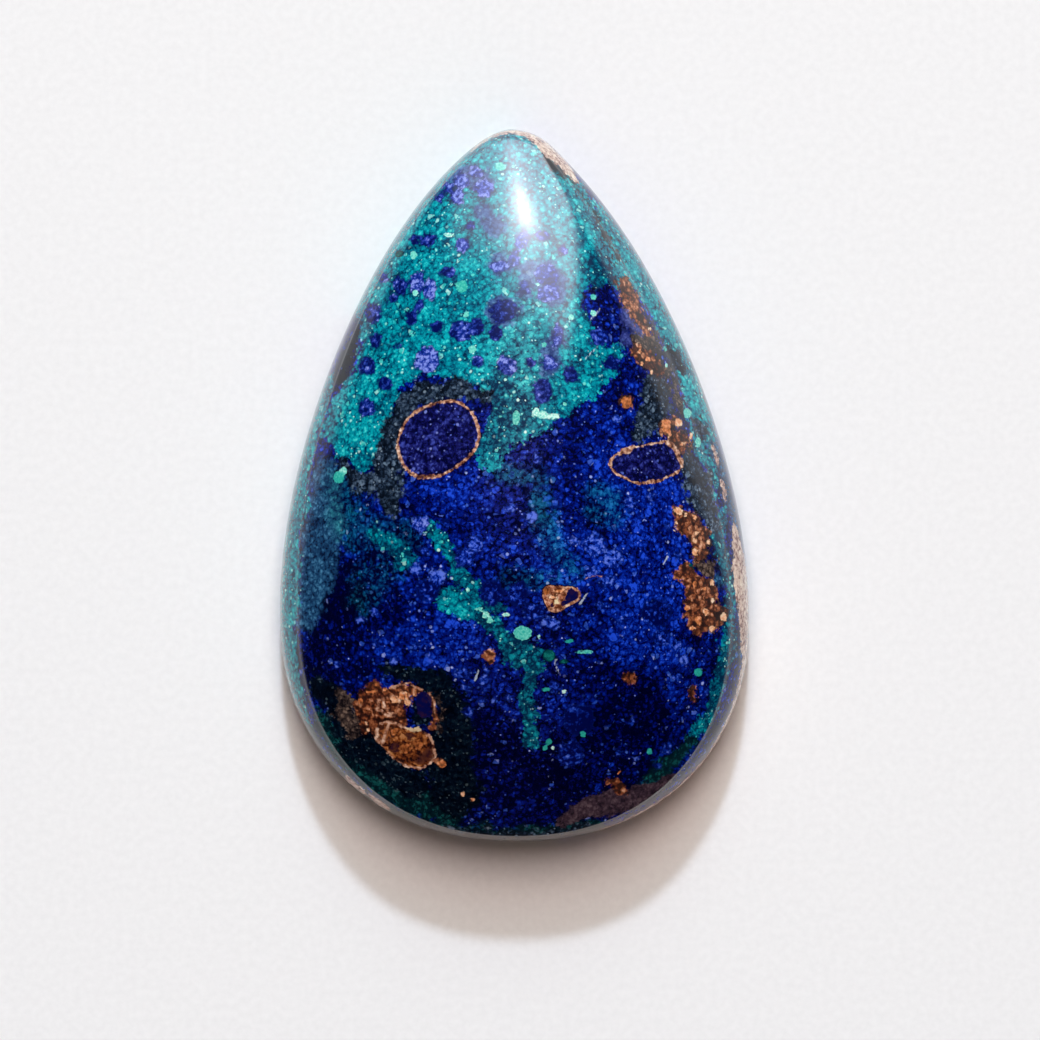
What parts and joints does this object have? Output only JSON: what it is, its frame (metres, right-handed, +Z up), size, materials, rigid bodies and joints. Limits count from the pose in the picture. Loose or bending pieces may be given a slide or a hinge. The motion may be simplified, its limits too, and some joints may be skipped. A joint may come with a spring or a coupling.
{
  "type": "azurite cabochon",
  "caption": "Pear-shaped polished azurite cabochon with a domed front, steep sides and a flat back, mottled deep blue, teal and rust.",
  "frame": {"origin": "middle of the outline's bounding box, on the flat back", "axes": "+Y along the stone towards its tip, +X to the right seen from above, +Z up out of the dome"},
  "size_m": [0.0234, 0.0356, 0.0096],
  "materials": {
    "polished_azurite": "polished"
  },
  "bodies": {
    "root": {"azurite_stone": "polished_azurite"}
  },
  "joints": []
}
